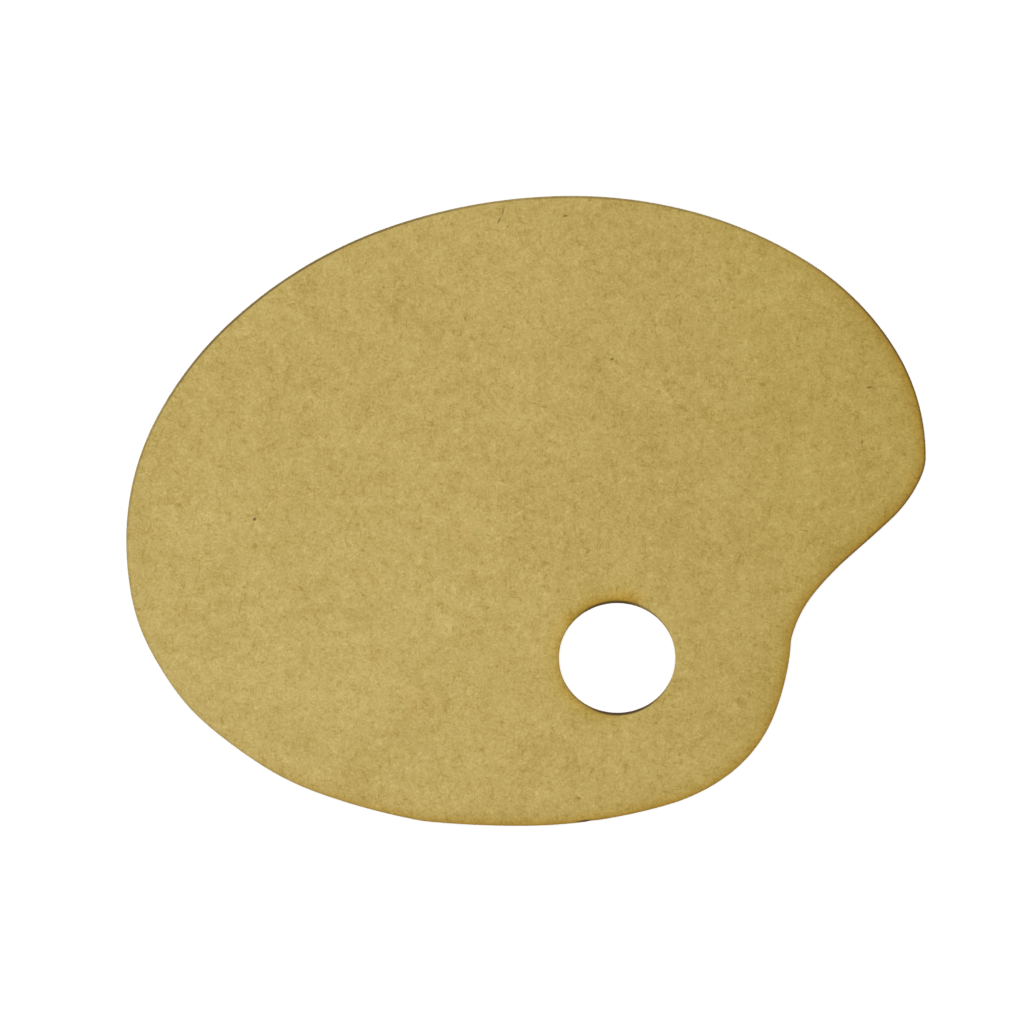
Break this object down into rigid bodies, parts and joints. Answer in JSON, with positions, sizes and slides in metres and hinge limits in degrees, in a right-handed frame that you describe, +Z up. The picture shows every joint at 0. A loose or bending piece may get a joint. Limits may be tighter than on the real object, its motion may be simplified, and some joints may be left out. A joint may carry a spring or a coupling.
{
  "type": "mixing palette",
  "caption": "Flat free-form fibreboard artist's mixing palette with a round thumb hole and a finger notch beside it, laser-cut with toasted edges.",
  "frame": {"origin": "middle of the board's bounding rectangle, on the face it rests on", "axes": "+X along the board's length towards the nose beyond the finger notch, +Y across it from the lobe by the thumb hole towards the plain back, +Z up out of the mixing face"},
  "size_m": [0.25, 0.197, 0.003],
  "materials": {
    "fibreboard": "matte"
  },
  "bodies": {
    "root": {"palette_board": "fibreboard"}
  },
  "joints": []
}
